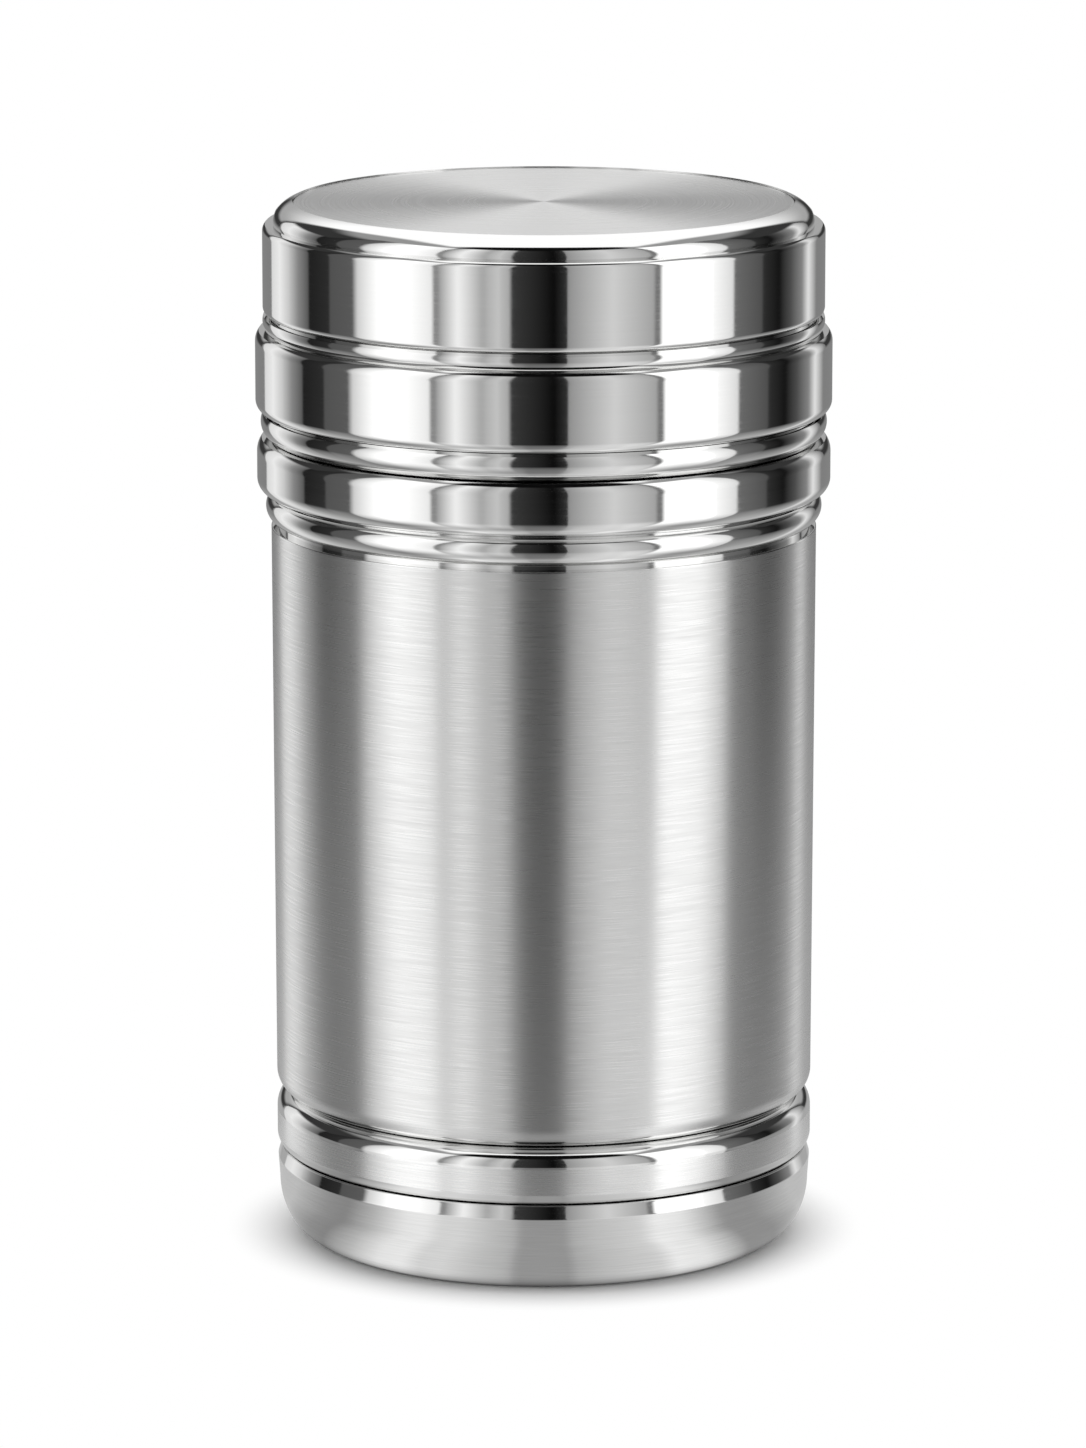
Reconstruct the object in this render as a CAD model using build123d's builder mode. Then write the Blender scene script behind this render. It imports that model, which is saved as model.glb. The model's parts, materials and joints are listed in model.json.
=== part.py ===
from build123d import *
from math import hypot, radians
import os

# A steel spice shaker that stands on its base. From the floor up it is a canister, a head
# that screws onto the canister's neck, a dial that turns on the head to pick the holes, and
# a lid that screws onto the dial. Everything is round about Z, and Z = 0 is the floor.
# All sizes are in millimetres, and angles are in degrees.

# ---- sheet, fits and clearances ----
sheet = 0.8  # the pressed steel skins
seat_fit = 0.05  # between pieces of one stack that nest in each other
running_gap = 0.3  # between stacks that turn on one another
bearing_fit = 0.05  # dial bore on its tube, all round
pivot_fit = 0.1  # sifter plate on the pivot's shoulder, all round
plate_gap = 0.1  # between the window plate and the sifter plate
screw_fit = 0.05  # screws in their holes, all round
gasket_clearance = 0.3  # gaskets inside the parts that turn past them
gasket_setback = 0.1  # head gasket back from the canister's bore
thread_pass = 0.1  # shoulder bead clear of the neck's thread
opening_margin = 0.25  # flanges clear of the thread they pass

# ---- canister ----
liner_radius = 31.0
liner_wall = 0.6
liner_corner = 4.0
liner_flange = 1.9  # how far the rim turns out
base_stand = 2.95  # how far the base stands out from the liner
base_corner_width = 5.2
base_corner_height = 7.0
base_taper = 0.2  # the wall draws in this much from its top edge to the corner
base_edge_height = 9.85
base_chamfer_height = 1.65
base_chamfer_depth = 0.46
pad_radius = 23.9
pad_thickness = 1.2
ring_stand = 3.04
ring_height = 7.25
ring_bend = 0.7  # inner radius of the fold at the bottom
ring_shoulder = 2.5
body_stand = 3.05
body_flare = 0.24  # the body widens this much towards its top
body_height = 72.75
body_bend = 1.7
shoulder_bead_height = 4.05
shoulder_bead_radius = 2.0
shoulder_bead_rise = 2.55  # bead centre above the body
shoulder_bead_inset = 1.33  # bead centre inside the body's top edge
shoulder_bead_foot = 0.45

# ---- threads, two starts, the same on the neck and under the lid ----
thread_pitch = 4.0
thread_starts = 2
thread_root_stand = 0.7  # the neck's wall stands out this far from the liner
ridge_height = 0.8
ridge_foot = 1.8
ridge_crest = 0.9
ridge_bite = 0.15  # how deep a ridge is rooted in its wall
ridge_offset = 1.5  # an inside ridge hooks this far under an outside ridge
ridge_end_gap = 0.2
thread_gap = 0.25  # ridge crest to the facing wall
neck_flange = 1.0
neck_thread_start = 0.65  # above the head's lower edge
neck_thread_height = 5.6

# ---- head ----
skirt_wall = 2.44
collar_height = 6.8
collar_bend = 1.0
collar_shoulder = 2.0
barrel_wall = 1.25
collar_bead_radius = 2.28
collar_bead_sink = 0.18  # how much of the bead's round is faced off where it sits on the band
collar_bead_crown = 1.1  # bead centre to its faced-off top
collar_bead_shift = 0.08  # bead centre outside the barrel
deck_thickness = 1.1
head_gasket_thickness = 0.8
tube_wall = 2.45
friction_ring_height = 5.6  # above the dial's lower edge
friction_ring_section = 1.4
friction_groove_width = 1.9
stop_boss_width = 1.0
stop_boss_height = 2.8
stop_boss_angle = 10.0
stop_slack = 0.5  # angle left at each end of the stop's slot

# ---- plates and their fasteners ----
window_plate_thickness = 1.2
window_plate_margin = 0.25
window_inner = 7.0
window_width = 17.5
window_angle = 56.0
window_corner = 1.5
sifter_thickness = 0.8
sifter_margin = 0.1
sifter_seat_width = 0.9
sifter_tabs = 3
tab_angle = 8.0
tab_slack = 0.4
hole_band_inner = 9.0  # radius of the innermost row of holes
hole_band_outer = 23.6
hole_field_angle = 44.0  # how much of a sector the holes fill
fine_hole = 1.6
fine_pitch = 2.9
coarse_hole = 3.8
coarse_pitch = 6.0
dial_step = 60.0  # closed, fine and coarse are this far apart
dial_positions = 3
plate_screws_count = 4
plate_screw_inset = 1.9  # screw axis inside the tube's inner wall
plate_screw_radius = 1.0
plate_screw_head = 1.9
plate_screw_length = 6.0
plate_screw_slot = 0.5
boss_radius = 2.6
boss_length = 8.0
pivot_shoulder = 2.0
pivot_thread = 1.5
pivot_head = 3.8
pivot_head_height = 1.2
pivot_slot_width = 1.0
pivot_slot_depth = 0.6
nut_flats = 5.5
nut_height = 2.4
nut_overhang = 0.5  # thread that stands out of the nut
washer_width = 1.9
washer_sheet = 0.3
washer_cone = 0.2

# ---- dial ----
dial_neck_wall = 1.7
dial_drum_depth = 3.65
dial_height = 10.05
dial_bend = 0.6
dial_shoulder = 1.4
dial_flange = 1.05  # the band's lower flange, inside its fold
stop_slot_inset = 0.1  # slot outside the neck's wall line
stop_slot_depth = 3.2
neck_bead_radius = 1.9
neck_bead_sink = 0.6
neck_bead_crown = 0.6
neck_bead_stand = 1.65  # bead centre outside the neck's wall
lid_depth = 8.5  # the lid's lower edge to the land that presses the gasket
lid_gasket_thickness = 1.2
lid_gasket_width = 4.15

# ---- lid ----
lid_liner_wall = 1.62
lid_height = 11.15
lid_bend = 0.1
lid_shoulder_bend = 0.2  # inner radius of the fold at the top
lid_pocket_radius = 27.0
lid_pocket_depth = 2.2
rim_inset = 1.36
rim_width = 4.21
rim_height = 2.82
rim_rise = 0.36  # rim centre above the band's top
disc_inset = 2.45
disc_thickness = 0.75
disc_fit = 0.05
disc_edge = 0.12
lid_top_height = 2.7  # the disc's face above the band's top
lid_deck = 0.8

# ---- radii worked out from the sizes above ----
thread_lead = thread_pitch * thread_starts
thread_root = liner_radius + thread_root_stand
thread_crest = thread_root + ridge_height
neck_clear = thread_root + thread_gap
skirt_root = thread_crest + thread_gap
flange_inner = skirt_root + opening_margin
liner_bore = liner_radius - liner_wall
skin_bore = liner_radius + seat_fit
flange_radius = liner_radius + liner_flange
base_radius = liner_radius + base_stand
base_corner_radius = base_radius - base_taper
foot_radius = base_corner_radius - base_corner_width
ring_radius = liner_radius + ring_stand
body_radius = liner_radius + body_stand
body_top_radius = body_radius + body_flare
collar_radius = skirt_root + skirt_wall + seat_fit + sheet
barrel_radius = neck_clear + barrel_wall
dial_bore = thread_root - dial_neck_wall
tube_radius = dial_bore - bearing_fit
throat_radius = tube_radius - tube_wall
dial_radius = thread_root + dial_drum_depth + seat_fit + sheet
lid_radius = skirt_root + lid_liner_wall + seat_fit + sheet
rim_radius = lid_radius - rim_inset
disc_radius = rim_radius - disc_inset
sifter_seat_radius = dial_bore + sifter_seat_width
screw_ring = throat_radius - plate_screw_inset
window_outer = window_inner + window_width

# ---- heights worked out from the floor up ----
base_top = base_edge_height + base_chamfer_height
liner_floor = pad_thickness + sheet
ring_top = base_top + ring_height
body_top = ring_top + body_height
shoulder_bead_top = body_top + shoulder_bead_height
head_bottom = shoulder_bead_top + running_gap
collar_top = head_bottom + collar_height
collar_bead_centre = collar_top + collar_bead_radius - collar_bead_sink
deck_top = collar_bead_centre + collar_bead_crown
deck_bottom = deck_top - deck_thickness
neck_top = deck_bottom - head_gasket_thickness
thread_ceiling = head_bottom + neck_thread_height
dial_bottom = deck_top + running_gap
dial_top = dial_bottom + dial_height
neck_bead_centre = dial_top + neck_bead_radius - neck_bead_sink
neck_bead_top = neck_bead_centre + neck_bead_crown
lid_bottom = neck_bead_top + running_gap
lid_land = lid_bottom + lid_depth
dial_neck_top = lid_land - lid_gasket_thickness
sifter_seat = dial_neck_top - sifter_thickness
window_top = sifter_seat - plate_gap
tube_top = window_top - window_plate_thickness
lid_band_top = lid_bottom + lid_height
disc_top = lid_band_top + lid_top_height
disc_seat = disc_top - disc_thickness
washer_height = washer_sheet + washer_cone
pivot_head_bottom = dial_neck_top + seat_fit + washer_height
dial_range = dial_step * (dial_positions - 1)
reach = disc_top + dial_radius  # longer than anything that is trimmed


def rolled_outline(inner, outer, bottom, top, lip, shoulder, inset=0.0, flare=0.0):
    """Outline of a rolled skin's section, or of the room inside it when inset is given."""
    wall_top = top - (shoulder or inset)
    Line((inner, bottom + inset), (outer - lip, bottom + inset))
    CenterArc((outer - lip, bottom + lip), lip - inset, -90, 90)
    Line((outer - inset, bottom + lip), (outer + flare - inset, wall_top))
    if shoulder:
        CenterArc((outer + flare - shoulder, wall_top), shoulder - inset, 0, 90)
        Line((outer + flare - shoulder, top - inset), (inner, top - inset))
    else:
        Line((outer + flare - inset, wall_top), (inner, top - inset))
    Line((inner, top - inset), (inner, bottom + inset))


def rolled_skin(inner, outer, bottom, top, lip, shoulder, flare=0.0):
    """Section of a wall rolled from sheet, with a flange turned in at each end."""
    with BuildLine() as outside:
        rolled_outline(inner, outer, bottom, top, lip, shoulder, flare=flare)
    make_face(outside.edges())
    with BuildLine() as inside:
        rolled_outline(inner - sheet, outer, bottom, top, lip, shoulder, sheet, flare)
    make_face(inside.edges(), mode=Mode.SUBTRACT)


def rolled_core(inner, outer, bottom, top, lip, shoulder):
    """Section of what fills a rolled skin, from its inner radius out."""
    with BuildLine() as outline:
        rolled_outline(inner, outer, bottom, top, lip, shoulder, sheet + seat_fit)
    make_face(outline.edges())


def wall(inner, outer, bottom, top, mode=Mode.ADD):
    """A square-cornered piece of section between two radii and two heights."""
    with Locations((inner, bottom)):
        Rectangle(outer - inner, top - bottom, align=(Align.MIN, Align.MIN), mode=mode)


def bead(centre, radius, inner, bottom, top):
    """Section of a ring with a round outside, faced flat below and above."""
    with Locations(centre):
        Circle(radius)
    wall(inner, reach, bottom, top, mode=Mode.INTERSECT)


def arc_slot(inner, outer, middle, span):
    """Outline of a sector between two radii, centred on an angle."""
    inside = CenterArc((0, 0), inner, middle - span / 2, span)
    outside = CenterArc((0, 0), outer, middle - span / 2, span)
    Line(inside @ 0, outside @ 0)
    Line(inside @ 1, outside @ 1)


def arc_piece(inner, outer, middle, span, mode=Mode.ADD):
    """Face of a sector between two radii, added to or cut from the sketch being drawn."""
    with BuildLine() as outline:
        arc_slot(inner, outer, middle, span)
    make_face(outline.edges(), mode=mode)


def add_thread(radius, side, bottom, top, datum):
    """Adds a thread's starts to the part being built. Side is 1 on the outside of a wall and
    -1 on the inside of one, and datum is the height of a ridge's middle at angle zero."""
    start_height = bottom + ridge_foot / 2
    turn = 360 * (start_height - datum) / thread_lead
    with BuildLine() as path:
        Helix(
            pitch=thread_lead,
            height=top - bottom - ridge_foot,
            radius=radius,
            center=(0, 0, start_height),
        )
    with BuildSketch(Plane(origin=path.line @ 0, x_dir=(1, 0, 0), z_dir=path.line % 0)) as section:
        with BuildLine() as outline:
            Polyline(
                (-side * ridge_bite, -ridge_foot / 2),
                (side * ridge_height, -ridge_crest / 2),
                (side * ridge_height, ridge_crest / 2),
                (-side * ridge_bite, ridge_foot / 2),
                close=True,
            )
        make_face(outline.edges())
    ridge = sweep(
        sections=section.sketch.face(), path=path.line, is_frenet=True, mode=Mode.PRIVATE
    )
    with PolarLocations(0, thread_starts, turn):
        add(ridge)


def hole_field(hole_radius, pitch, middle):
    """Rows of holes that fill one sector of the sifter plate."""
    rows = int((hole_band_outer - hole_band_inner) / pitch) + 1
    for row in range(rows):
        row_radius = hole_band_inner + row * pitch
        count = int(radians(hole_field_angle) * row_radius / pitch) + 1
        spread = hole_field_angle * (count - 1) / count
        with PolarLocations(row_radius, count, middle - spread / 2, spread, endpoint=True):
            Circle(hole_radius, mode=Mode.SUBTRACT)


def write(part, name):
    """Labels a finished piece and writes it as a node of its own."""
    part.label = name
    export_step(part, f"parts/{name}.step")


os.makedirs("parts", exist_ok=True)

# ================================ canister ================================

# Base cup: a pressed foot with an elliptical corner, a slightly drawn-in wall and a chamfered
# top edge.
with BuildPart() as base_cup:
    with BuildSketch(Plane.XZ):
        with BuildLine():
            Polyline(
                (0, liner_floor),
                (0, pad_thickness),
                (pad_radius + seat_fit, pad_thickness),
                (pad_radius + seat_fit, 0),
                (foot_radius, 0),
            )
            EllipticalCenterArc(
                (foot_radius, base_corner_height),
                base_corner_width,
                base_corner_height,
                start_angle=-90,
            )
            Polyline(
                (base_corner_radius, base_corner_height),
                (base_radius, base_edge_height),
                (base_radius - base_chamfer_depth, base_top),
                (skin_bore, base_top),
                (skin_bore, base_top - sheet),
                (base_radius - base_chamfer_depth - sheet, base_top - sheet),
                (base_radius - sheet, base_edge_height - sheet / 2),
                (base_corner_radius - sheet, base_corner_height),
            )
            EllipticalCenterArc(
                (foot_radius, base_corner_height),
                base_corner_width - sheet,
                base_corner_height - sheet,
                start_angle=-90,
            )
            Polyline(
                (foot_radius, sheet),
                (pad_radius + seat_fit + sheet, sheet),
                (pad_radius + seat_fit + sheet, liner_floor),
                (0, liner_floor),
            )
        make_face()
    revolve(axis=Axis.Z)
write(base_cup.part, "base_cup")

# Foot pad: a soft disc flush with the foot.
with BuildPart() as foot_pad:
    Cylinder(pad_radius, pad_thickness, align=(Align.CENTER, Align.CENTER, Align.MIN))
write(foot_pad.part, "foot_pad")

# Base ring: the narrow rolled band between the base and the body.
with BuildPart() as base_ring:
    with BuildSketch(Plane.XZ):
        rolled_skin(skin_bore, ring_radius, base_top, ring_top, sheet + ring_bend, ring_shoulder)
    revolve(axis=Axis.Z)
write(base_ring.part, "base_ring")

# Body shell: the long outer wall, rolled in at the bottom and folded in square at the top.
with BuildPart() as body_shell:
    with BuildSketch(Plane.XZ):
        rolled_skin(skin_bore, body_radius, ring_top, body_top, sheet + body_bend, 0, body_flare)
    revolve(axis=Axis.Z)
write(body_shell.part, "body_shell")

# Inner liner: the drawn cup that holds the spice, hung from its rim and stood on the base.
with BuildPart() as inner_liner:
    with BuildSketch(Plane.XZ):
        wall(0, liner_radius, liner_floor, body_top + liner_wall)
        wall(0, flange_radius, body_top, body_top + liner_wall)
        wall(0, liner_bore, liner_floor + liner_wall, reach, mode=Mode.SUBTRACT)
    cup = revolve(axis=Axis.Z)
    outer_corner = edges().filter_by(GeomType.CIRCLE).sort_by(Axis.Z).first
    fillet(outer_corner, radius=liner_corner)
    inner_corner = (
        edges()
        .filter_by(GeomType.CIRCLE)
        .filter_by(lambda edge: abs(edge.radius - liner_bore) < seat_fit)
        .sort_by(Axis.Z)
        .first
    )
    fillet(inner_corner, radius=liner_corner - liner_wall)
write(inner_liner.part, "inner_liner")

# Neck sleeve: the threaded mouth, brazed by its flange to the liner's rim.
neck_sleeve_bottom = body_top + liner_wall
neck_ridge_bottom = head_bottom + neck_thread_start
neck_datum = neck_ridge_bottom + ridge_foot / 2
with BuildPart() as neck_sleeve:
    with BuildSketch(Plane.XZ):
        wall(liner_bore, thread_root, neck_sleeve_bottom, neck_top)
        wall(liner_bore, flange_radius, neck_sleeve_bottom, neck_sleeve_bottom + neck_flange)
    revolve(axis=Axis.Z)
    add_thread(thread_root, 1, neck_ridge_bottom, thread_ceiling - ridge_end_gap, neck_datum)
write(neck_sleeve.part, "neck_sleeve")

# Shoulder bead: the polished ring that clamps both flanges to the body's top.
shoulder_bead_centre = (body_top_radius - shoulder_bead_inset, body_top + shoulder_bead_rise)
flange_pocket = flange_radius + seat_fit
with BuildPart() as shoulder_bead:
    with BuildSketch(Plane.XZ):
        bead(shoulder_bead_centre, shoulder_bead_radius, 0, body_top, shoulder_bead_top)
        wall(flange_pocket, flange_pocket + shoulder_bead_foot, body_top, shoulder_bead_centre[1])
        flange_stack = neck_sleeve_bottom + neck_flange + seat_fit
        wall(0, flange_pocket, 0, flange_stack, mode=Mode.SUBTRACT)
        wall(0, thread_crest + thread_pass, 0, reach * 2, mode=Mode.SUBTRACT)
    revolve(axis=Axis.Z)
write(shoulder_bead.part, "shoulder_bead")

# ================================ head ================================

# Head gasket: lies on the neck's rim and goes up and down with the head.
with BuildPart() as head_gasket:
    with BuildSketch(Plane.XZ):
        wall(liner_bore + gasket_setback, neck_clear - gasket_clearance, neck_top, deck_bottom)
    revolve(axis=Axis.Z)
write(head_gasket.part, "head_gasket")

# Head frame: threaded skirt, deck, the tube that the dial turns on, and the dial's stop.
collar_lip = sheet + collar_bend
friction_groove = dial_bottom + friction_ring_height
stop_inner = thread_root + stop_slot_inset + gasket_clearance
skirt_bottom = head_bottom + sheet + seat_fit
with BuildPart() as head_frame:
    with BuildSketch(Plane.XZ):
        rolled_core(neck_clear, collar_radius, head_bottom, collar_top, collar_lip, collar_shoulder)
        wall(neck_clear, barrel_radius, skirt_bottom, deck_top)
        wall(throat_radius, barrel_radius, deck_bottom, deck_top)
        wall(throat_radius, tube_radius, deck_bottom, tube_top)
        wall(0, skirt_root, 0, thread_ceiling, mode=Mode.SUBTRACT)
        groove_floor = tube_radius - friction_ring_section
        groove_top = friction_groove + friction_groove_width
        wall(groove_floor, tube_radius, friction_groove, groove_top, mode=Mode.SUBTRACT)
    revolve(axis=Axis.Z)
    add_thread(skirt_root, -1, skirt_bottom, thread_ceiling, neck_datum - ridge_offset)
    with BuildSketch(Plane.XY.offset(deck_top)):
        arc_piece(stop_inner, stop_inner + stop_boss_width, 0, stop_boss_angle)
    extrude(amount=stop_boss_height)
    with BuildSketch(Plane.XY.offset(tube_top - boss_length)):
        with PolarLocations(screw_ring, plate_screws_count, 180 / plate_screws_count):
            Circle(boss_radius)
    extrude(amount=boss_length)
    with Locations(Plane.XY.offset(tube_top)):
        with PolarLocations(screw_ring, plate_screws_count, 180 / plate_screws_count):
            Hole(plate_screw_radius + screw_fit, depth=plate_screw_length)
write(head_frame.part, "head_frame")

# Collar band: the polished band around the skirt. Its upper flange closes on the barrel.
with BuildPart() as collar_band:
    with BuildSketch(Plane.XZ):
        rolled_skin(
            flange_inner, collar_radius, head_bottom, collar_top, collar_lip, collar_shoulder
        )
        wall(0, barrel_radius + seat_fit, head_bottom + collar_lip, reach, mode=Mode.SUBTRACT)
    revolve(axis=Axis.Z)
write(collar_band.part, "collar_band")

# Collar bead: the round ring that sits on the collar band, around the barrel.
with BuildPart() as collar_bead:
    with BuildSketch(Plane.XZ):
        bead(
            (barrel_radius + collar_bead_shift, collar_bead_centre),
            collar_bead_radius,
            barrel_radius + seat_fit,
            collar_top,
            deck_top,
        )
    revolve(axis=Axis.Z)
write(collar_bead.part, "collar_bead")

# Friction ring: a round-section ring in the tube's groove that holds the dial where it is set.
friction_section_radius = friction_ring_section / 2
with BuildPart() as friction_ring:
    with BuildSketch(Plane.XZ):
        with Locations(
            (
                tube_radius - friction_section_radius,
                friction_groove + friction_groove_width / 2,
            )
        ):
            Circle(friction_section_radius - seat_fit / 2)
    revolve(axis=Axis.Z)
write(friction_ring.part, "friction_ring")

# Window plate: fixed on the tube, with two windows that the sifter plate turns over.
window_plate_radius = tube_radius - window_plate_margin
with BuildPart() as window_plate:
    with BuildSketch(Plane.XY.offset(tube_top)) as window_sketch:
        Circle(window_plate_radius)
        Circle(pivot_thread + screw_fit, mode=Mode.SUBTRACT)
        for window_middle in (0, 180):
            arc_piece(window_inner, window_outer, window_middle, window_angle, Mode.SUBTRACT)
        window_corners = window_sketch.vertices().filter_by(
            lambda corner: window_inner - 1 < hypot(corner.X, corner.Y) < window_outer + 1
        )
        fillet(window_corners, radius=window_corner)
    extrude(amount=window_plate_thickness)
    with Locations(Plane.XY.offset(window_top)):
        with PolarLocations(screw_ring, plate_screws_count, 180 / plate_screws_count):
            CounterSinkHole(
                plate_screw_radius + screw_fit,
                plate_screw_head + screw_fit,
                depth=window_plate_thickness,
            )
write(window_plate.part, "window_plate")

# Plate screws: small countersunk screws, flush with the window plate.
countersink_depth = plate_screw_head - plate_screw_radius
with BuildPart() as plate_screws:
    with Locations(Plane.XY.offset(window_top)):
        with PolarLocations(screw_ring, plate_screws_count, 180 / plate_screws_count):
            Cylinder(
                plate_screw_radius,
                plate_screw_length,
                align=(Align.CENTER, Align.CENTER, Align.MAX),
            )
            Cone(
                plate_screw_radius,
                plate_screw_head,
                countersink_depth,
                align=(Align.CENTER, Align.CENTER, Align.MAX),
            )
            Box(
                2 * plate_screw_head,
                plate_screw_slot,
                countersink_depth,
                align=(Align.CENTER, Align.CENTER, Align.CENTER),
                mode=Mode.SUBTRACT,
            )
write(plate_screws.part, "plate_screws")

# Pivot screw: a shoulder screw through both plates, its shoulder seated on the window plate.
pivot_head_top = pivot_head_bottom + pivot_head_height
with BuildPart() as pivot_screw:
    with BuildSketch(Plane.XZ):
        wall(0, pivot_thread, tube_top - nut_height - nut_overhang, window_top)
        wall(0, pivot_shoulder, window_top, pivot_head_bottom)
        wall(0, pivot_head, pivot_head_bottom, pivot_head_top)
    revolve(axis=Axis.Z)
    chamfer(edges().sort_by(Axis.Z).last, length=pivot_head_height / 4)
    with Locations((0, 0, pivot_head_top)):
        Box(
            2 * pivot_head,
            pivot_slot_width,
            2 * pivot_slot_depth,
            mode=Mode.SUBTRACT,
        )
write(pivot_screw.part, "pivot_screw")

# Pivot nut: under the window plate.
with BuildPart() as pivot_nut:
    with BuildSketch(Plane.XY.offset(tube_top - nut_height)):
        RegularPolygon(nut_flats / 2, 6, major_radius=False)
        Circle(pivot_thread + screw_fit, mode=Mode.SUBTRACT)
    extrude(amount=nut_height)
write(pivot_nut.part, "pivot_nut")

# Spring washer: a shallow cone that presses the sifter plate down.
washer_inner = pivot_shoulder + pivot_fit
washer_outer = washer_inner + washer_width
washer_bottom = dial_neck_top + seat_fit
with BuildPart() as spring_washer:
    with BuildSketch(Plane.XZ):
        with BuildLine():
            Polyline(
                (washer_inner, washer_bottom + washer_cone),
                (washer_outer, washer_bottom),
                (washer_outer, washer_bottom + washer_sheet),
                (washer_inner, washer_bottom + washer_height),
                close=True,
            )
        make_face()
    revolve(axis=Axis.Z)
write(spring_washer.part, "spring_washer")

# ================================ dial ================================

# Dial frame: the drum inside the band and the threaded neck that the lid screws onto.
dial_lip = sheet + dial_bend
drum_foot = dial_radius - dial_lip - dial_flange
slot_inner = thread_root + stop_slot_inset
slot_outer = stop_inner + stop_boss_width + gasket_clearance
slot_span = dial_range + stop_boss_angle + 2 * stop_slack
lid_ridge_bottom = neck_bead_top + running_gap
lid_datum = lid_ridge_bottom + ridge_foot / 2
notch_angle = tab_angle + 2 * tab_slack
with BuildPart() as dial_frame:
    with BuildSketch(Plane.XZ):
        rolled_core(dial_bore, dial_radius, dial_bottom, dial_top, dial_lip, dial_shoulder)
        wall(dial_bore, drum_foot, dial_bottom, dial_bottom + sheet + seat_fit)
        wall(dial_bore, thread_root, dial_bottom, dial_neck_top)
        wall(0, sifter_seat_radius, sifter_seat, reach * 2, mode=Mode.SUBTRACT)
    revolve(axis=Axis.Z)
    add_thread(thread_root, 1, lid_ridge_bottom, sifter_seat - ridge_end_gap, lid_datum)
    # The stop's boss stands at one end of the slot, and the dial turns until it meets the other.
    with BuildSketch(Plane.XY.offset(dial_bottom)):
        arc_piece(slot_inner, slot_outer, -dial_range / 2, slot_span)
    extrude(amount=stop_slot_depth, mode=Mode.SUBTRACT)
    with BuildSketch(Plane.XY.offset(sifter_seat)):
        for tab in range(sifter_tabs):
            arc_piece(dial_bore, thread_crest + thread_gap, 90 + tab * 360 / sifter_tabs, notch_angle)
    extrude(amount=sifter_thickness, mode=Mode.SUBTRACT)
write(dial_frame.part, "dial_frame")

# Dial band: the widest polished band, which the fingers turn.
with BuildPart() as dial_band:
    with BuildSketch(Plane.XZ):
        rolled_skin(
            thread_root + seat_fit, dial_radius, dial_bottom, dial_top, dial_lip, dial_shoulder
        )
        wall(0, drum_foot + seat_fit, 0, dial_bottom + sheet + seat_fit, mode=Mode.SUBTRACT)
    revolve(axis=Axis.Z)
write(dial_band.part, "dial_band")

# Neck bead: the thin polished ring that sits on the dial band, around the dial's neck.
with BuildPart() as neck_bead:
    with BuildSketch(Plane.XZ):
        bead(
            (thread_root + neck_bead_stand, neck_bead_centre),
            neck_bead_radius,
            thread_root + seat_fit,
            dial_top,
            neck_bead_top,
        )
    revolve(axis=Axis.Z)
write(neck_bead.part, "neck_bead")

# Sifter plate: two blank, two fine and two coarse sectors. It turns with the dial.
with BuildPart() as sifter_plate:
    with BuildSketch(Plane.XY.offset(sifter_seat)):
        Circle(sifter_seat_radius - sifter_margin)
        for tab in range(sifter_tabs):
            arc_piece(dial_bore, thread_root - seat_fit, 90 + tab * 360 / sifter_tabs, tab_angle)
        for half_turn in (0, 180):
            hole_field(fine_hole / 2, fine_pitch, half_turn - dial_step)
            hole_field(coarse_hole / 2, coarse_pitch, half_turn - 2 * dial_step)
        Circle(pivot_shoulder + pivot_fit, mode=Mode.SUBTRACT)
    extrude(amount=sifter_thickness)
write(sifter_plate.part, "sifter_plate")

# ================================ lid ================================

# Lid gasket: lies on the dial's neck and goes up and down with the lid.
gasket_outer = skirt_root - gasket_clearance
with BuildPart() as lid_gasket:
    with BuildSketch(Plane.XZ):
        wall(gasket_outer - lid_gasket_width, gasket_outer, dial_neck_top, lid_land)
    revolve(axis=Axis.Z)
write(lid_gasket.part, "lid_gasket")

# Lid shell: the polished band and its round rim, with a flat seat for the disc.
lid_lip = sheet + lid_bend
lid_shoulder = sheet + lid_shoulder_bend
rim_centre = (rim_radius - rim_width, lid_band_top + rim_rise)
liner_step = disc_radius - sheet
deck_underside = disc_seat - lid_deck
with BuildPart() as lid_shell:
    with BuildSketch(Plane.XZ):
        with BuildLine():
            rolled_outline(0, lid_radius, lid_bottom, lid_band_top, lid_lip, lid_shoulder)
        make_face()
        with Locations(rim_centre):
            Ellipse(rim_width, rim_height)
        wall(0, rim_centre[0], rim_centre[1], rim_centre[1] + rim_height)
        wall(0, disc_radius, disc_seat, reach * 2, mode=Mode.SUBTRACT)
        with BuildLine():
            rolled_outline(0, lid_radius, lid_bottom, lid_band_top, lid_lip, lid_shoulder, sheet)
        make_face(mode=Mode.SUBTRACT)
        wall(0, flange_inner, 0, lid_bottom + 2 * sheet, mode=Mode.SUBTRACT)
        wall(0, liner_step, lid_bottom, deck_underside, mode=Mode.SUBTRACT)
    revolve(axis=Axis.Z)
write(lid_shell.part, "lid_shell")

# Lid disc: the brushed plate let into the top.
with BuildPart() as lid_disc:
    with BuildSketch(Plane.XY.offset(disc_seat)):
        Circle(disc_radius - disc_fit)
    extrude(amount=disc_thickness)
    chamfer(edges().sort_by(Axis.Z).last, length=disc_edge)
write(lid_disc.part, "lid_disc")

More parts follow.
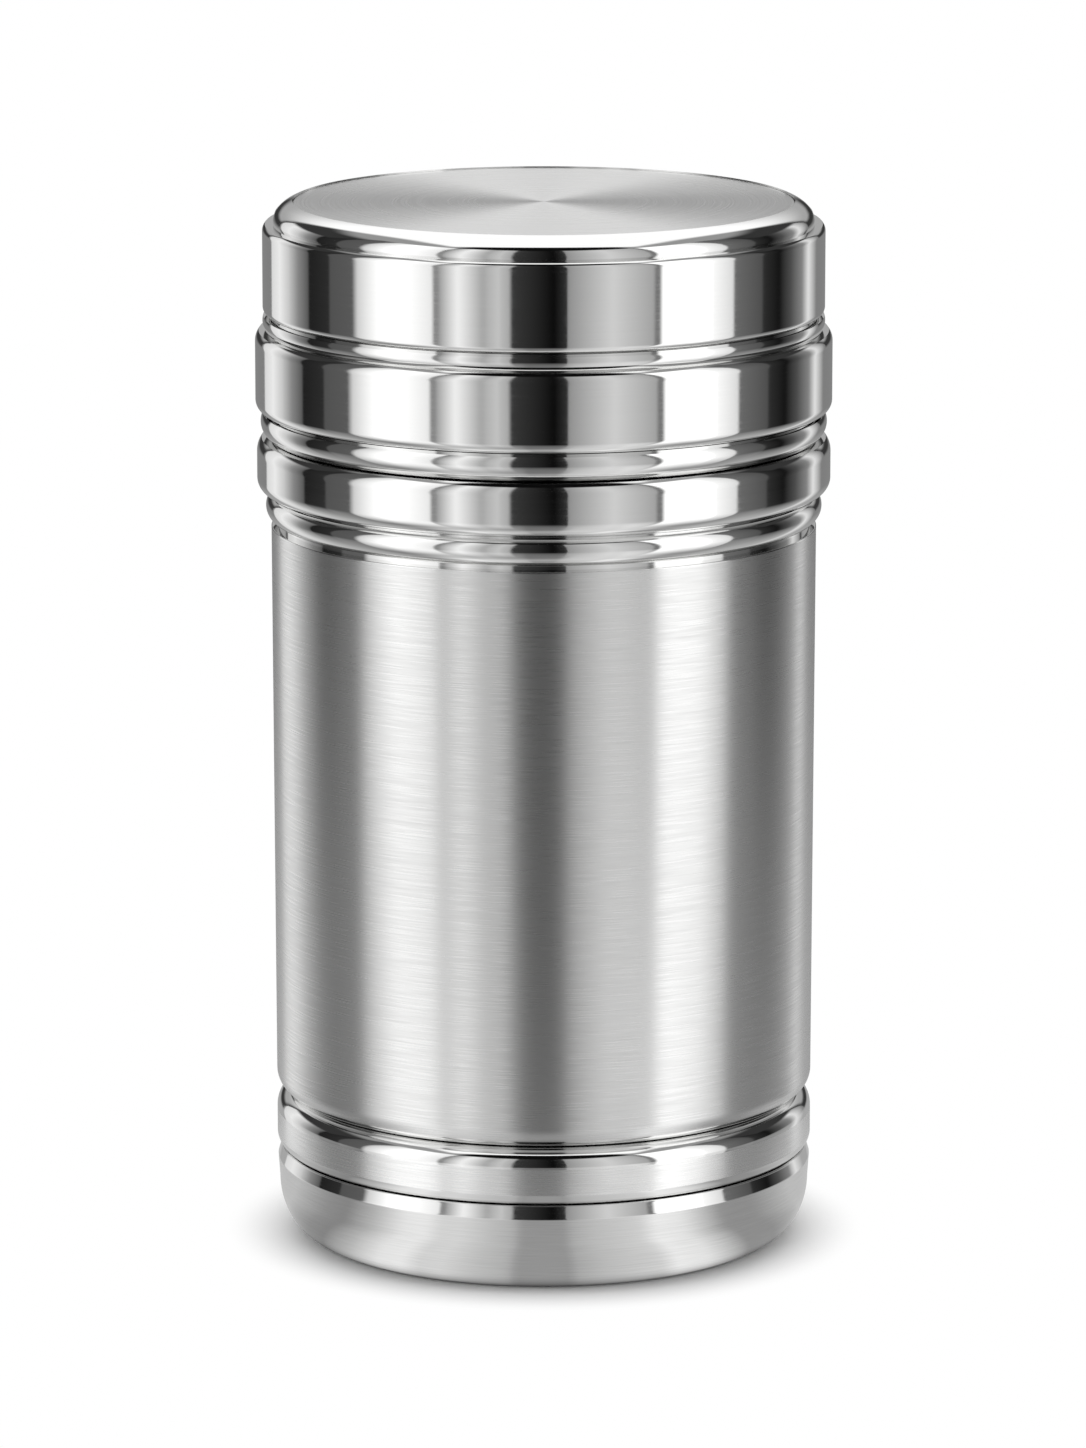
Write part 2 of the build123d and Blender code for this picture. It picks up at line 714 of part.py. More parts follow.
# Lid liner: the moulded inside of the lid, with the thread, the gasket's land and a pocket
# over the pivot's head.
with BuildPart() as lid_liner:
    with BuildSketch(Plane.XZ):
        rolled_core(0, lid_radius, lid_bottom, lid_band_top, lid_lip, lid_shoulder)
        wall(0, liner_step - seat_fit, lid_land, deck_underside)
        wall(0, skirt_root, 0, lid_land, mode=Mode.SUBTRACT)
        wall(0, lid_pocket_radius, 0, lid_land + lid_pocket_depth, mode=Mode.SUBTRACT)
    revolve(axis=Axis.Z)
    liner_bottom = lid_bottom + sheet + seat_fit
    add_thread(skirt_root, -1, liner_bottom, dial_neck_top, lid_datum - ridge_offset)
write(lid_liner.part, "lid_liner")
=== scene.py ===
import bmesh
import bpy
import json
from math import acos, asin, atan2, cos, degrees, pi, radians, sin, sqrt
from mathutils import Matrix, Vector


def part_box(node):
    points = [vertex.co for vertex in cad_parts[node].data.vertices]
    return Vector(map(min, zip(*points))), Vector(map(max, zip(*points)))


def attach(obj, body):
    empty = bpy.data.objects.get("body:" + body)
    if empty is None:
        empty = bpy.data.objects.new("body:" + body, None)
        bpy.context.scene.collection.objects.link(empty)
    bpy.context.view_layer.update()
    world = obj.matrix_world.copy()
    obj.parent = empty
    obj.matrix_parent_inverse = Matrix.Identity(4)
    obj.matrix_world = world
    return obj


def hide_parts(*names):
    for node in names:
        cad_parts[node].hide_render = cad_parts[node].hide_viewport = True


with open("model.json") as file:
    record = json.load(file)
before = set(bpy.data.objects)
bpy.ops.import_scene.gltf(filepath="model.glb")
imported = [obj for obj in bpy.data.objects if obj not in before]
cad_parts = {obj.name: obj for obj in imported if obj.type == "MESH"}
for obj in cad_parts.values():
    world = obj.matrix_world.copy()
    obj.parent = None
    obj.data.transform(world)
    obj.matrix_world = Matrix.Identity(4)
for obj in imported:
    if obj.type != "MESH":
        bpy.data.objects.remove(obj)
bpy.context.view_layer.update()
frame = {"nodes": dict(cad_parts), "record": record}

# The steel spice shaker in its studio. The steel skins that show from outside are turned here
# as smooth rolled sections, each on the solid that it stands for. The pieces that only show
# when the lid or the head is unscrewed keep their own solids. Lengths are in metres.

MM = 0.001
TURN_STEPS = 288  # faces round the axis
DOUBLINGS = 4  # a turned sector is doubled this many times, which closes the whole round
ARC_STEP = radians(4)  # one face of a round corner
FEWEST_STEPS = 3  # faces of the smallest corner
GUARD = 0.12 * MM  # narrow faces at the ends of a flat, which keep its reflection true
GUARDED_LENGTH = 6 * GUARD  # a flat shorter than this has none
WELD = GUARD / 50  # points nearer than this become one
CREASE = radians(32)  # faces that meet at more than this are a sharp crease

# ---- sizes of the rolled skins ----
SHEET = 0.8 * MM
CUT_EDGE = 0.14 * MM  # rounding of a sheet's folded or cut edge
SKIN_BORE = 31.05 * MM
BASE_PAD_BORE = 23.95 * MM
BASE_PAD_DEPTH = 1.2 * MM
BASE_CORNER_WIDTH = 5.2 * MM
BASE_CORNER_HEIGHT = 7.0 * MM
BASE_TAPER = 0.2 * MM  # how far the wall draws in from its top edge to the corner
BASE_EDGE_HEIGHT = 9.85 * MM
BASE_CHAMFER = 0.46 * MM
RING_LIP = 1.5 * MM
RING_SHOULDER = 2.5 * MM
BODY_FLARE = 0.24 * MM
BODY_LIP = 2.5 * MM
BODY_LIP_POLISHED = 0.4  # the share of the lip, from its foot up, that is polished
SHOULDER_BEAD_RADIUS = 2.0 * MM
SHOULDER_BEAD_RISE = 2.55 * MM
SHOULDER_BEAD_POCKET = 32.95 * MM  # clears the flanges that the bead clamps
SHOULDER_BEAD_BORE = 32.6 * MM
SHOULDER_BEAD_FOOT = 0.45 * MM
SHOULDER_BEAD_SEAT = 1.65 * MM  # the flanges' stack, inside the bead
SKIRT_BORE = 33.0 * MM
BAND_SHOULDER_END = 40  # bearing at which a band's shoulder meets its flat top
COLLAR_LIP = 1.8 * MM
COLLAR_SHOULDER = 2.6 * MM
COLLAR_BEAD_RADIUS = 2.28 * MM
COLLAR_BEAD_SINK = 0.18 * MM
BARREL = 33.25 * MM  # bore of the collar bead
DIAL_LIP = 1.4 * MM
DIAL_SHOULDER = 2.0 * MM
DIAL_FLANGE = 1.0 * MM
NECK_WALL = 31.75 * MM  # bore of the neck bead
NECK_BEAD_RADIUS = 1.9 * MM
NECK_BEAD_SINK = 0.6 * MM
LID_HEIGHT = 11.15 * MM
LID_LIP = 0.9 * MM
LID_SHOULDER = 1.1 * MM
LID_SHOULDER_END = 47
LID_RIM_WIDTH = 4.21 * MM
LID_RIM_HEIGHT = 2.82 * MM
LID_RIM_INSET = 1.36 * MM
LID_RIM_RISE = 0.36 * MM
LID_RIM_EDGE = (14, 31)  # bearings on the rim's ellipse between which its soft edge lies
BEAD_STEP = 0.2 * MM  # low step on each bead that nearly closes the gap above it
BEAD_STEP_INSET = 0.9 * MM
DISC_FIT = 0.05 * MM
DISC_EDGE = 0.12 * MM

# ---- finishes ----
# How many features of a pattern there are to the metre, along X, Y and Z.
BUFFED_LINES = (60, 60, 5200)
BUFFED_WAVES = (55, 55, 90)
FINE_LINES = (150, 150, 9000)
BROAD_LINES = (90, 90, 4200)
FINE_SHARE = 0.8  # the part of the brushing that is fine lines
SPUN_LINES = (40, 40, 4200)  # the last is along the radius
DRAWN_CLOUD = (260, 260, 90)
DRAWN_GRAIN = (900, 900, 4200)
PLASTIC_CLOUD = (130, 130, 130)
# Bumps, as depth and strength.
BUFFED_LINE_BUMP = (0.01 * MM, 0.05)
BUFFED_WAVE_BUMP = (0.3 * MM, 0.04)
BRUSHED_BUMP = (0.02 * MM, 0.09)
SPUN_BUMP = (0.008 * MM, 0.1)
DRAWN_BUMP = (0.01 * MM, 0.06)
PLASTIC_BUMP = (0.03 * MM, 0.25)
# The values between which most of a noise lies.
NOISE_SPAN = (0.3, 0.7)
BUFFED_SPAN = (0.3, 0.75)
BRUSHED_SPAN = (0.32, 0.68)
# Roughness at the low and high end of such a span.
BUFFED_ROUGHNESS = (0.035, 0.085)
BRUSHED_SHARES = (1.25, 0.8)  # of the roughness that the steel is given
SPUN_ROUGHNESS = (0.34, 0.26)
DRAWN_ROUGHNESS = (0.25, 0.3)
PLASTIC_SWING = 0.07  # to each side of the roughness that the plastic is given
SPUN_STRETCH = 0.95  # of the gloss, from 0 for none to 1
ACROSS_LINES = 0.25  # of a turn, from along the lines to across them

# ---- the camera ----
CAMERA_AIM = Vector((-0.1 * MM, 0, 65.56 * MM))
CAMERA_DISTANCE = 984.5 * MM
CAMERA_ELEVATION = radians(11.73)
CAMERA_LENS = 193.2  # in millimetres, as its sensor is
CAMERA_SENSOR = 36
CAMERA_CLIP = (0.05, 20)

# ---- the studio: upright panels round the shaker, by where they stand ----
# Each row gives the azimuth at which a panel begins, in degrees from the camera towards +X,
# and its brightness there and at its far end.
PANELS = (
    (-180, 0.24, 0.24),
    (-148, 0.8, 0.95),
    (-138, 1.0, 0.66),
    (-127, 0.6, 0.3),
    (-120, 0.28, 0.12),
    (-112, 0.016, 0.03),
    (-98, 0.1, 0.12),
    (-83, 0.7, 1.5),
    (-66, 1.5, 1.0),
    (-46, 0.26, 0.3),
    (-43, 0.42, 1.05),
    (-35, 1.05, 0.42),
    (-24, 0.5, 0.66),
    (-18, 0.6, 0.46),
    (-13, 0.045, 0.004),
    (4, 0.004, 0.03),
    (9.5, 0.34, 0.74),
    (28, 0.74, 0.44),
    (45.5, 0.2, 0.2),
    (49, 1.45, 1.45),
    (72, 1.2, 0.85),
    (83.5, 0.17, 0.09),
    (101, 0.03, 0.008),
    (112, 0.01, 0.075),
    (120, 0.075, 0.26),
    (131, 0.26, 0.95),
    (139, 0.8, 0.3),
    (148, 0.24, 0.24),
)
PANEL_EDGE = 0.6  # degrees over which one panel gives way to the next
RAMP_STOPS = 32  # the most that one colour ramp holds
# The elevations at which the panels end: in front and beside, behind at each side, and straight
# behind. One height gives way to the next between two azimuths, the same to each side.
TOP_FRONT = 46.5
TOP_BACK_SIDES = 19.0
TOP_BACK = -4.0
BACK_SIDES_SPAN = (96, 108)
BACK_SPAN = (146, 151)
TOP_SOFT = 2.5  # half the height of their soft top edge
# It is dark over the panels: darkest in front, and at the sides a little lighter higher up.
FRONT_GAP = 0.004
FRONT_SPAN = (45, 48)  # azimuths to each side over which the front's dark ends
SIDE_GAP = 0.04
SIDE_TOP = 0.35
SIDE_TOP_START = (36, 46)  # elevations
# A narrow pale strip stands straight behind.
FAR_STRIP = 0.42
FAR_SPAN = (173, 177)  # azimuths to each side at which it begins
FAR_FOOT = (-14, -9)  # elevations
# A long soft box hangs overhead, comes down behind and brightens upwards.
BOX_SIDE = (0.44, 0.52)  # its edge, by how far a ray leans to the side
BOX_FRONT = (-0.38, -0.3)  # its front edge, by how far a ray leans to the back
BOX_FOOT = (3, 9)  # its foot behind, by elevation
BOX_DIM = (10, 40)  # elevations over which it brightens
BOX_LOW = 0.42
BOX_HIGH = 1.22
# The ground further out, by azimuth and brightness, and straight below. Each takes over
# between two elevations.
GROUND_LEVELS = (
    (-180, 0.3),
    (-100, 0.3),
    (-80, 0.12),
    (-30, 0.17),
    (-8, 0.03),
    (8, 0.06),
    (14, 0.5),
    (32, 0.65),
    (48, 0.4),
    (80, 0.2),
    (105, 0.36),
    (180, 0.3),
)
GROUND_START = (-18, -55)
NADIR = 0.7
NADIR_START = (-46, -85)

# ---- the floor, with distances from the axis ----
FLOOR_SIZE = 6.0
FLOOR_COLOUR = (0.9, 0.9, 0.9, 1)
FLOOR_SHADOW = (29 * MM, 41 * MM)  # over this the shadow gives way to plain white
# Steel sees a glow close to the foot, by azimuth and brightness.
FLOOR_GLOW = (
    (-180, 0.75),
    (-98, 0.9),
    (-76, 0.5),
    (-66, 0.42),
    (-54, 0.85),
    (-43, 1.45),
    (-36, 1.5),
    (-31, 1.2),
    (-25, 1.22),
    (-16, 0.95),
    (-9, 0.8),
    (-6.5, 0.55),
    (6, 0.55),
    (8.5, 0.74),
    (15, 0.92),
    (29, 1.15),
    (34, 1.55),
    (43, 1.42),
    (58, 0.5),
    (72, 0.5),
    (96, 0.9),
    (180, 0.75),
)
FLOOR_GLOW_START = (28 * MM, 32.5 * MM)
FLOOR_GLOW_CLOSE = 0.65  # how much of the glow there is close to the foot
FLOOR_GLOW_END = (58 * MM, 90 * MM)  # over this it grows to all of it and becomes see-through
FLOOR_SEEN = 0.32  # how much of it steel still sees there
FLOOR_FAR = (120 * MM, 600 * MM)  # over this the rest of it fades too


# ================================ node helpers ================================


def node(tree, kind, **settings):
    """A new node with its settings."""
    made = tree.nodes.new(kind)
    for key, value in settings.items():
        setattr(made, key, value)
    return made


def link(tree, source, target):
    tree.links.new(source, target)


def math_node(tree, operation, *values):
    """One Math node, fed by sockets or numbers."""
    made = node(tree, "ShaderNodeMath", operation=operation)
    for index, value in enumerate(values):
        if isinstance(value, (int, float)):
            made.inputs[index].default_value = value
        else:
            link(tree, value, made.inputs[index])
    return made.outputs[0]


def spread(tree, value, span, results, smooth=False):
    """Maps a span of a value onto a span of results, and keeps to their ends outside it."""
    made = node(tree, "ShaderNodeMapRange")
    if smooth:
        made.interpolation_type = "SMOOTHSTEP"
    for name, number in zip(("From Min", "From Max", "To Min", "To Max"), (*span, *results)):
        made.inputs[name].default_value = number
    link(tree, value, made.inputs["Value"])
    return made.outputs["Result"]


def step_up(tree, value, span):
    """A smooth step from 0 before a span to 1 past it. A span may run downwards."""
    return spread(tree, value, span, (0, 1), smooth=True)


def blend(tree, factor, first, second):
    """Mixes two colours by a factor. Each is a socket, a colour or a grey level."""
    made = node(tree, "ShaderNodeMix", data_type="RGBA")
    link(tree, factor, made.inputs["Factor"])
    for name, value in (("A", first), ("B", second)):
        if isinstance(value, float):
            made.inputs[name].default_value = (value, value, value, 1)
        elif isinstance(value, tuple):
            made.inputs[name].default_value = (*value, 1)
        else:
            link(tree, value, made.inputs[name])
    return made.outputs["Result"]


def mix_shaders(tree, factor, first, second):
    made = node(tree, "ShaderNodeMixShader")
    link(tree, factor, made.inputs["Fac"])
    link(tree, first, made.inputs[1])
    link(tree, second, made.inputs[2])
    return made.outputs["Shader"]


def split(tree, vector):
    """The X, Y and Z of a vector."""
    parts = node(tree, "ShaderNodeSeparateXYZ")
    link(tree, vector, parts.inputs["Vector"])
    return parts.outputs["X"], parts.outputs["Y"], parts.outputs["Z"]


def axis_distance(tree, east, north):
    """How far a place is from the shaker's axis."""
    squared = math_node(tree, "MULTIPLY_ADD", east, east, math_node(tree, "MULTIPLY", north, north))
    return math_node(tree, "SQRT", squared)


def azimuth_of(tree, east, north):
    """A direction's azimuth, in degrees from the camera towards +X."""
    front = math_node(tree, "MULTIPLY", north, -1)
    return math_node(tree, "DEGREES", math_node(tree, "ARCTAN2", east, front))


def level_ramp(tree, azimuth, stops):
    """A grey level by azimuth. A list that is too long for one ramp goes on in the next."""
    turn = spread(tree, azimuth, (-180, 180), (0, 1))
    mixed = None
    for start in range(0, len(stops), RAMP_STOPS):
        ramp = node(tree, "ShaderNodeValToRGB")
        link(tree, turn, ramp.inputs["Fac"])
        elements = ramp.color_ramp.elements
        elements.remove(elements[-1])
        for index, (place, level) in enumerate(stops[start : start + RAMP_STOPS]):
            position = (place + 180) / 360
            made = elements.new(position) if index else elements[0]
            made.position = position
            made.color = (level, level, level, 1)
        if start:
            seam = (stops[start - 1][0] + stops[start][0]) / 2
            late = math_node(tree, "GREATER_THAN", azimuth, seam)
            mixed = blend(tree, late, mixed, ramp.outputs["Color"])
        else:
            mixed = ramp.outputs["Color"]
    return mixed


# ================================ materials ================================


def new_material(name, metallic=0.0):
    """A new material, with its nodes and its shader."""
    material = bpy.data.materials.new(name)
    material.use_nodes = True
    tree = material.node_tree
    shader = tree.nodes["Principled BSDF"]
    shader.inputs["Metallic"].default_value = metallic
    return material, tree, shader


def noise(tree, vector, detail, roughness):
    made = node(tree, "ShaderNodeTexNoise")
    made.inputs["Scale"].default_value = 1.0
    made.inputs["Detail"].default_value = detail
    made.inputs["Roughness"].default_value = roughness
    link(tree, vector, made.inputs["Vector"])
    return made.outputs["Fac"]


def stretched_noise(tree, scale, detail=2.0, roughness=0.55):
    """Noise on the piece's own coordinates, with its own scale along each axis."""
    place = node(tree, "ShaderNodeTexCoord")
    mapping = node(tree, "ShaderNodeMapping")
    mapping.inputs["Scale"].default_value = scale
    link(tree, place.outputs["Object"], mapping.inputs["Vector"])
    return noise(tree, mapping.outputs["Vector"], detail, roughness)


def bump(tree, height, depth_and_strength, under=None):
    """A bump from a height, on top of another bump's normal if there is one."""
    made = node(tree, "ShaderNodeBump")
    depth, strength = depth_and_strength
    made.inputs["Strength"].default_value = strength
    made.inputs["Distance"].default_value = depth
    link(tree, height, made.inputs["Height"])
    if under is not None:
        link(tree, under, made.inputs["Normal"])
    return made.outputs["Normal"]


def stretch_gloss(tree, shader, amount):
    """Stretches the gloss across lines that run round the axis."""
    tangent = node(tree, "ShaderNodeTangent", direction_type="RADIAL", axis="Z")
    link(tree, tangent.outputs["Tangent"], shader.inputs["Tangent"])
    shader.inputs["Anisotropic"].default_value = amount
    shader.inputs["Anisotropic Rotation"].default_value = ACROSS_LINES


def feed(tree, shader, colour, roughness, normal):
    """Wires a pattern's results to the shader."""
    link(tree, colour, shader.inputs["Base Color"])
    link(tree, roughness, shader.inputs["Roughness"])
    link(tree, normal, shader.inputs["Normal"])


def polished_steel(name, dark, light):
    """Mirror-polished stainless steel, with the faint lines that the buffing wheel leaves."""
    material, tree, shader = new_material(name, metallic=1.0)
    lines = stretched_noise(tree, BUFFED_LINES)
    waves = bump(tree, stretched_noise(tree, BUFFED_WAVES, detail=1.0), BUFFED_WAVE_BUMP)
    roughness = spread(tree, lines, BUFFED_SPAN, BUFFED_ROUGHNESS)
    normal = bump(tree, lines, BUFFED_LINE_BUMP, waves)
    feed(tree, shader, blend(tree, lines, dark, light), roughness, normal)
    return material


def brushed_steel(name, dark, light, roughness, stretch):
    """Steel brushed round the axis: long fine lines, each a little brighter or duller."""
    material, tree, shader = new_material(name, metallic=1.0)
    fine = stretched_noise(tree, FINE_LINES, roughness=0.6)
    broad = stretched_noise(tree, BROAD_LINES, roughness=0.5)
    fine_part = math_node(tree, "MULTIPLY", fine, FINE_SHARE)
    lines = math_node(tree, "MULTIPLY_ADD", broad, 1 - FINE_SHARE, fine_part)
    colour = blend(tree, spread(tree, lines, BRUSHED_SPAN, (0, 1)), dark, light)
    dull, bright = BRUSHED_SHARES
    gloss = spread(tree, lines, NOISE_SPAN, (roughness * dull, roughness * bright))
    feed(tree, shader, colour, gloss, bump(tree, lines, BRUSHED_BUMP))
    stretch_gloss(tree, shader, stretch)
    return material


def spun_steel(name, dark, light):
    """Steel brushed in circles, for the disc in the lid."""
    material, tree, shader = new_material(name, metallic=1.0)
    place = node(tree, "ShaderNodeTexCoord")
    east, north = split(tree, place.outputs["Object"])[:2]
    rings = node(tree, "ShaderNodeCombineXYZ")
    parts = (east, north, axis_distance(tree, east, north))
    for part, scale, target in zip(parts, SPUN_LINES, rings.inputs):
        link(tree, math_node(tree, "MULTIPLY", part, scale), target)
    lines = noise(tree, rings.outputs["Vector"], detail=3.0, roughness=0.5)
    colour = blend(tree, spread(tree, lines, NOISE_SPAN, (0, 1)), dark, light)
    roughness = spread(tree, lines, NOISE_SPAN, SPUN_ROUGHNESS)
    feed(tree, shader, colour, roughness, bump(tree, lines, SPUN_BUMP))
    stretch_gloss(tree, shader, SPUN_STRETCH)
    return material


def drawn_steel(name, dark, light):
    """Plain drawn steel for the parts inside: soft gloss with a faint cloud of grain."""
    material, tree, shader = new_material(name, metallic=1.0)
    cloud = stretched_noise(tree, DRAWN_CLOUD)
    grain = stretched_noise(tree, DRAWN_GRAIN)
    roughness = spread(tree, cloud, NOISE_SPAN, DRAWN_ROUGHNESS)
    feed(tree, shader, blend(tree, cloud, dark, light), roughness, bump(tree, grain, DRAWN_BUMP))
    return material


def soft_plastic(name, dark, light, roughness, grains):
    """Moulded plastic or silicone with a fine even grain, so many to the metre."""
    material, tree, shader = new_material(name)
    cloud = stretched_noise(tree, PLASTIC_CLOUD, detail=3.0)
    grain = stretched_noise(tree, (grains, grains, grains))
    swing = (roughness - PLASTIC_SWING, roughness + PLASTIC_SWING)
    gloss = spread(tree, grain, NOISE_SPAN, swing)
    feed(tree, shader, blend(tree, cloud, dark, light), gloss, bump(tree, grain, PLASTIC_BUMP))
    return material


FINISHES = {
    "polished_steel": polished_steel("polished_steel", (0.8, 0.8, 0.795), (0.84, 0.84, 0.835)),
    "brushed_steel": brushed_steel(
        "brushed_steel", (0.76, 0.76, 0.755), (0.82, 0.82, 0.815), roughness=0.3, stretch=0.85
    ),
    "satin_steel": brushed_steel(
        "satin_steel", (0.86, 0.86, 0.855), (0.92, 0.92, 0.915), roughness=0.28, stretch=0.82
    ),
    "base_steel": brushed_steel(
        "base_steel", (0.79, 0.79, 0.785), (0.86, 0.86, 0.855), roughness=0.16, stretch=0.6
    ),
    "spun_steel": spun_steel("spun_steel", (0.7, 0.7, 0.695), (0.82, 0.82, 0.815)),
    "drawn_steel": drawn_steel("drawn_steel", (0.62, 0.62, 0.61), (0.67, 0.67, 0.66)),
    "moulded_plastic": soft_plastic(
        "moulded_plastic", (0.08, 0.08, 0.085), (0.1, 0.1, 0.105), roughness=0.42, grains=3600
    ),
    "silicone_black": soft_plastic(
        "silicone_black", (0.045, 0.045, 0.05), (0.055, 0.055, 0.06), roughness=0.62, grains=5200
    ),
    "silicone_white": soft_plastic(
        "silicone_white", (0.76, 0.75, 0.72), (0.8, 0.79, 0.76), roughness=0.55, grains=5200
    ),
}


def dress_solids():
    """Gives each solid the finish that the record names for it."""
    for part in frame["record"]["subparts"]:
        slots = frame["nodes"][part["node"]].data.materials
        for index in range(len(slots)):
            slots[index] = FINISHES[part["material_slot"]]


# ================================ turned skins ================================


class Section:
    """A closed wire in the XZ plane, drawn stroke by stroke and then turned round the axis."""

    def __init__(self, radius, height):
        self.mesh = bmesh.new()
        self.start = self.tip = self.mesh.verts.new((radius, 0, height))

    def line(self, radius, height):
        """A straight stroke, with a narrow guard at each end if it is long enough."""
        start, end = self.tip.co.copy(), Vector((radius, 0, height))
        length = (end - start).length
        stops = [end]
        if length > GUARDED_LENGTH:
            stops = [start.lerp(end, GUARD / length), end.lerp(start, GUARD / length), end]
        for stop in stops:
            vert = self.mesh.verts.new(stop)
            self.mesh.edges.new((self.tip, vert))
            self.tip = vert

    def arc(self, radius, height, end_angle, clockwise=False, stretch=1.0):
        """A round stroke about a centre to a bearing in degrees, 0 outwards and 90 up. Stretch
        makes it an ellipse that many times as high as it is wide."""
        centre = Vector((radius, 0, height))
        flat = Matrix.Diagonal((1, 1, 1 / stretch, 1))
        tall = Matrix.Diagonal((1, 1, stretch, 1))
        to_centre = Matrix.Translation(-centre)
        bmesh.ops.transform(self.mesh, matrix=flat, space=to_centre, verts=[self.tip])
        out = self.tip.co - centre
        turn = (radians(end_angle) - atan2(out.z, out.x)) % (2 * pi)
        if clockwise:
            turn -= 2 * pi
        before = set(self.mesh.verts)
        made = bmesh.ops.spin(
            self.mesh,
            geom=[self.tip],
            cent=centre,
            axis=(0, 1, 0),
            angle=-turn,
            steps=max(FEWEST_STEPS, round(abs(turn) / ARC_STEP)),
        )
        drawn = [vert for vert in self.mesh.verts if vert not in before] + [self.tip]
        bmesh.ops.transform(self.mesh, matrix=tall, space=to_centre, verts=drawn)
        self.tip = made["geom_last"][0]

    def weld(self):
        """Joins points that lie on each other."""
        bmesh.ops.remove_doubles(self.mesh, verts=self.mesh.verts, dist=WELD)

    def close(self):
        """Joins the last point to the first."""
        if (self.tip.co - self.start.co).length > WELD:
            self.line(self.start.co.x, self.start.co.z)
        self.weld()

    def turn(self):
        """Spins the wire through one sector, and doubles that until it closes the round."""
        sector = 2 * pi / 2**DOUBLINGS
        bmesh.ops.spin(
            self.mesh,
            geom=self.mesh.verts[:] + self.mesh.edges[:],
            cent=(0, 0, 0),
            axis=(0, 0, 1),
            angle=sector,
            steps=TURN_STEPS // 2**DOUBLINGS,
        )
        for doubling in range(DOUBLINGS):
            drawn = self.mesh.verts[:] + self.mesh.edges[:] + self.mesh.faces[:]
            copied = bmesh.ops.duplicate(self.mesh, geom=drawn)["geom"]
            bmesh.ops.rotate(
                self.mesh,
                cent=(0, 0, 0),
                matrix=Matrix.Rotation(sector * 2**doubling, 3, "Z"),
                verts=[part for part in copied if isinstance(part, bmesh.types.BMVert)],
            )
        self.weld()
        bmesh.ops.recalc_face_normals(self.mesh, faces=self.mesh.faces)


def add_piece(node_name, section, body, finishes, finish_at=None):
    """Makes a turned section the skin that stands for a solid. The last argument says which of
    the finishes a face takes, by the height of its middle."""
    section.close()
    section.turn()
    mesh = section.mesh
    for face in mesh.faces:
        face.smooth = True
        if finish_at:
            face.material_index = finish_at(face.calc_center_median().z)
    for edge in mesh.edges:
        if len(edge.link_faces) == 2 and edge.calc_face_angle() > CREASE:
            edge.smooth = False
    data = bpy.data.meshes.new(f"{node_name}_skin")
    mesh.to_mesh(data)
    mesh.free()
    for finish in finishes:
        data.materials.append(FINISHES[finish])
    piece = bpy.data.objects.new(f"{node_name}_skin", data)
    bpy.context.scene.collection.objects.link(piece)
    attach(piece, body)
    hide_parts(node_name)


def add_polished(node_name, section, body):
    add_piece(node_name, section, body, ["polished_steel"])


def reach(node_name):
    """A node's outer radius, lowest height and highest height."""
    low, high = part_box(node_name)
    return high.x, low.z, high.z


def lip(section, outer, bottom, radius):
    """Draws a rolled lip from its flat foot round to the outer wall."""
    section.line(outer - radius, bottom)
    section.arc(outer - radius, bottom + radius, 0)


def lip_inside(section, outer, bottom, radius, bore):
    """Draws the inner side of a lip, from the wall round and back to the bore."""
    section.line(outer - SHEET, bottom + radius)
    section.arc(outer - radius, bottom + radius, -90, clockwise=True)
    section.line(bore, bottom + SHEET)


def base_cup():
    outer, bottom, top = reach("base_cup")
    corner = outer - BASE_TAPER
    foot = corner - BASE_CORNER_WIDTH
    stretch = BASE_CORNER_HEIGHT / BASE_CORNER_WIDTH
    inner_stretch = (BASE_CORNER_HEIGHT - SHEET) / (BASE_CORNER_WIDTH - SHEET)
    pad_wall = BASE_PAD_BORE + SHEET
    section = Section(0, BASE_PAD_DEPTH + SHEET)
    section.line(0, BASE_PAD_DEPTH)
    section.line(BASE_PAD_BORE, BASE_PAD_DEPTH)
    section.line(BASE_PAD_BORE, bottom + CUT_EDGE)
    section.arc(BASE_PAD_BORE + CUT_EDGE, bottom + CUT_EDGE, -90)
    section.line(foot, bottom)
    section.arc(foot, BASE_CORNER_HEIGHT, 0, stretch=stretch)
    section.line(outer, BASE_EDGE_HEIGHT)
    section.line(outer - BASE_CHAMFER, top - CUT_EDGE)
    section.arc(outer - BASE_CHAMFER - CUT_EDGE, top - CUT_EDGE, 90)
    section.line(SKIN_BORE, top)
    section.line(SKIN_BORE, top - SHEET)
    section.line(outer - BASE_CHAMFER - SHEET, top - SHEET)
    section.line(outer - SHEET, BASE_EDGE_HEIGHT - SHEET / 2)
    section.line(corner - SHEET, BASE_CORNER_HEIGHT)
    section.arc(foot, BASE_CORNER_HEIGHT, -90, clockwise=True, stretch=inner_stretch)
    section.line(pad_wall, SHEET)
    section.line(pad_wall, BASE_PAD_DEPTH + SHEET)

    def finish_at(height):
        return 1 if height > BASE_EDGE_HEIGHT else 0

    finishes = ["base_steel", "polished_steel"]
    add_piece("base_cup", section, "canister", finishes, finish_at)


def base_ring():
    outer, bottom, top = reach("base_ring")
    section = Section(SKIN_BORE, bottom)
    lip(section, outer, bottom, RING_LIP)
    section.line(outer, top - RING_SHOULDER)
    section.arc(outer - RING_SHOULDER, top - RING_SHOULDER, 90)
    section.line(SKIN_BORE, top)
    section.line(SKIN_BORE, top - SHEET)
    section.line(outer - RING_SHOULDER, top - SHEET)
    section.arc(outer - RING_SHOULDER, top - RING_SHOULDER, 0, clockwise=True)
    lip_inside(section, outer, bottom, RING_LIP, SKIN_BORE)

    def finish_at(height):
        return 0 if bottom + RING_LIP < height < top - RING_SHOULDER else 1

    finishes = ["satin_steel", "polished_steel"]
    add_piece("base_ring", section, "canister", finishes, finish_at)


